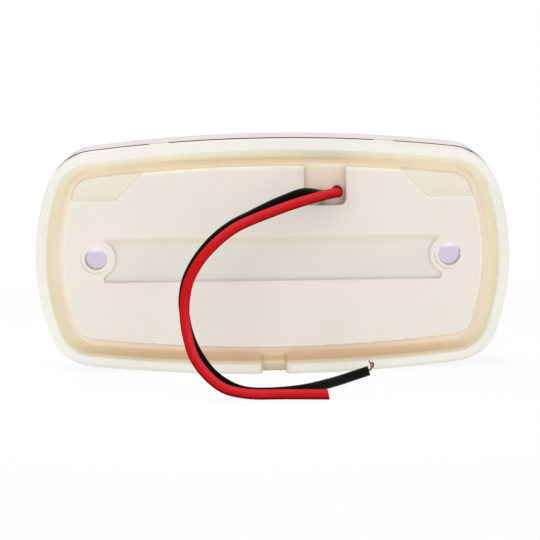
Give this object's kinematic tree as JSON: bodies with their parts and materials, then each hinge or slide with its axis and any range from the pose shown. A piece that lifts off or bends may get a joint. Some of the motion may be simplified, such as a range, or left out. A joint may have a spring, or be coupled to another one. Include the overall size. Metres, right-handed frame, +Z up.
{
  "type": "trailer marker lamp",
  "caption": "Barrel-shaped surface-mount marker and tail lamp: cream base with grooved back, red clip-on lens, circuit board with light-emitting diodes, and bare wire leads.",
  "frame": {"origin": "middle of the rear rim's plane, which lies against the mounting surface, halfway between the two mounting holes", "axes": "+X along the lamp's width, +Y out of its back towards the mounting surface, +Z up as mounted; the lens faces -Y"},
  "size_m": [0.1016, 0.0603, 0.0506],
  "materials": {
    "cream_abs": "satin moulded plastic, slightly translucent",
    "red_lens": "polished translucent",
    "black_rubber": "matt",
    "board_laminate": "solder mask",
    "screw_steel": "zinc plated",
    "led_epoxy": "tinted epoxy",
    "tinned_leg": "tinned",
    "resistor_body": "lacquered",
    "diode_body": "moulded epoxy",
    "capacitor_sleeve": "shrink sleeve",
    "solder": "bright",
    "sealant": "cured silicone",
    "red_insulation": "soft vinyl",
    "black_insulation": "soft vinyl",
    "copper_strand": "bare copper"
  },
  "bodies": {
    "base": {"base_housing": "cream_abs", "lens_gasket": "black_rubber", "circuit_board": "board_laminate", "board_screws": "screw_steel", "led_1": "led_epoxy", "led_2": "led_epoxy", "led_3": "led_epoxy", "led_4": "led_epoxy", "led_5": "led_epoxy", "led_6": "led_epoxy", "led_7": "led_epoxy", "led_8": "led_epoxy", "led_legs": "tinned_leg", "resistor_1": "resistor_body", "resistor_2": "resistor_body", "polarity_diode": "diode_body", "capacitor": "capacitor_sleeve", "component_legs": "tinned_leg", "solder_joints": "solder", "wire_solder": "solder", "wire_sealant": "sealant", "red_lead_in": "red_insulation", "black_lead_in": "black_insulation", "lead_in_strands": "copper_strand", "red_wire": "red_insulation", "black_wire": "black_insulation", "black_strands": "copper_strand"},
    "lens": {"lens": "red_lens"}
  },
  "joints": [
    {"name": "lens_slide", "type": "slide", "parent": "base", "child": "lens", "axis": [0, -1, 0], "range_m": [0, 0.02]}
  ]
}
